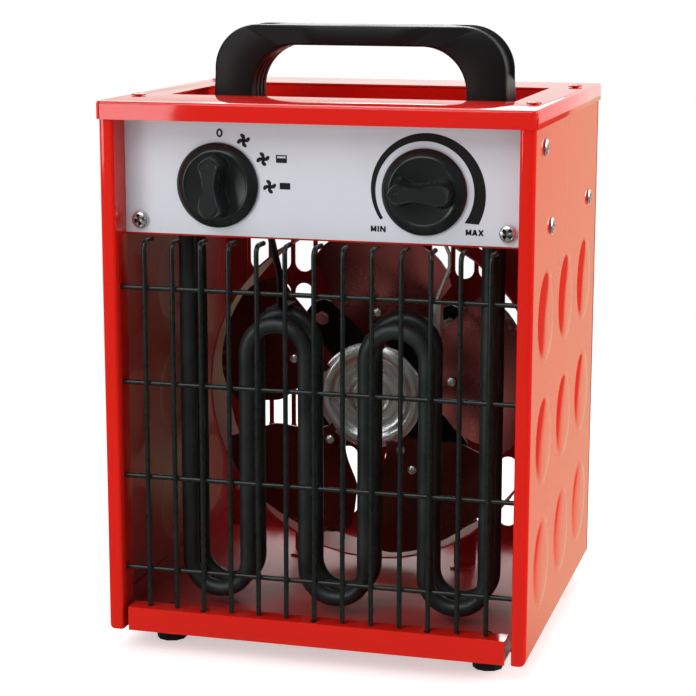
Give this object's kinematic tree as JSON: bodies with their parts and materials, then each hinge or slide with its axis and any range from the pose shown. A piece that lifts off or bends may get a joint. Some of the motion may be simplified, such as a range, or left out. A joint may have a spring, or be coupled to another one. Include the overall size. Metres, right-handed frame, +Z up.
{
  "type": "forced air heater",
  "caption": "Box-shaped forced air heater: folded steel case, wire grille, bent tubular heating elements, axial fan, control knobs and a carrying handle in a recess.",
  "frame": {"origin": "middle of the bounding box in X and Y, at the height of the feet's soles", "axes": "+Z up, +X to the right seen from the front, +Y from the grille to the rear panel"},
  "size_m": [0.2124, 0.1976, 0.3052],
  "materials": {
    "painted_red": "glossy red powder coat",
    "panel_silver": "satin silver paint",
    "grille_wire": "satin dark grey-green coat",
    "handle_black": "satin black moulding",
    "knob_black": "gloss black moulding",
    "element_steel": "dark oxidised tube, satin",
    "fan_aluminium": "bright rolled aluminium",
    "steel": "zinc-plated",
    "dark_steel": "dark oxidised steel",
    "rubber": "matt black rubber",
    "moulding": "natural moulding",
    "black_moulding": "matt black moulding"
  },
  "bodies": {
    "case": {"top_cover": "painted_red", "recess_tray": "painted_red", "side_panel_right": "painted_red", "side_panel_left": "painted_red", "base_tray": "painted_red", "rear_panel": "painted_red", "partition": "painted_red", "fan_ring": "painted_red", "control_panel": "panel_silver", "grille": "grille_wire", "element_front": "element_steel", "element_rear": "element_steel", "element_hanger": "dark_steel", "motor_plate": "dark_steel", "motor_body": "steel", "motor_stud_1": "steel", "motor_nut_1": "steel", "motor_stud_2": "steel", "motor_nut_2": "steel", "motor_stud_3": "steel", "motor_nut_3": "steel", "motor_stud_4": "steel", "motor_nut_4": "steel", "handle": "handle_black", "switch_body": "moulding", "thermostat_body": "moulding", "terminal_block": "moulding", "sensor_bulb": "fan_aluminium", "thermal_cutout": "black_moulding", "cable_inlet": "black_moulding", "foot_left_1": "rubber", "screw_top_left_1": "painted_red", "screw_rear_left_1": "steel", "foot_left_2": "rubber", "screw_top_left_2": "painted_red", "screw_rear_left_2": "steel", "screw_side_left_1": "steel", "screw_side_left_2": "steel", "screw_side_left_3": "steel", "screw_panel_left": "steel", "screw_handle_left": "steel", "foot_right_1": "rubber", "screw_top_right_1": "painted_red", "screw_rear_right_1": "steel", "foot_right_2": "rubber", "screw_top_right_2": "painted_red", "screw_rear_right_2": "steel", "screw_side_right_1": "steel", "screw_side_right_2": "steel", "screw_side_right_3": "steel", "screw_panel_right": "steel", "screw_handle_right": "steel"},
    "fan_rotor": {"fan": "fan_aluminium"},
    "switch_dial": {"switch_knob": "knob_black"},
    "thermostat_dial": {"thermostat_knob": "knob_black"}
  },
  "joints": [
    {"name": "switch_turn", "type": "hinge", "parent": "case", "child": "switch_dial", "pos_m": [-0.05046, -0.08235, 0.232], "axis": [0, 1, 0], "range_deg": [0, 90]},
    {"name": "thermostat_turn", "type": "hinge", "parent": "case", "child": "thermostat_dial", "pos_m": [0.05046, -0.08235, 0.232], "axis": [0, 1, 0], "range_deg": [-32, 215]},
    {"name": "fan_spin", "type": "hinge", "parent": "case", "child": "fan_rotor", "pos_m": [0, 0.01315, 0.112], "axis": [0, 1, 0], "continuous": true}
  ]
}
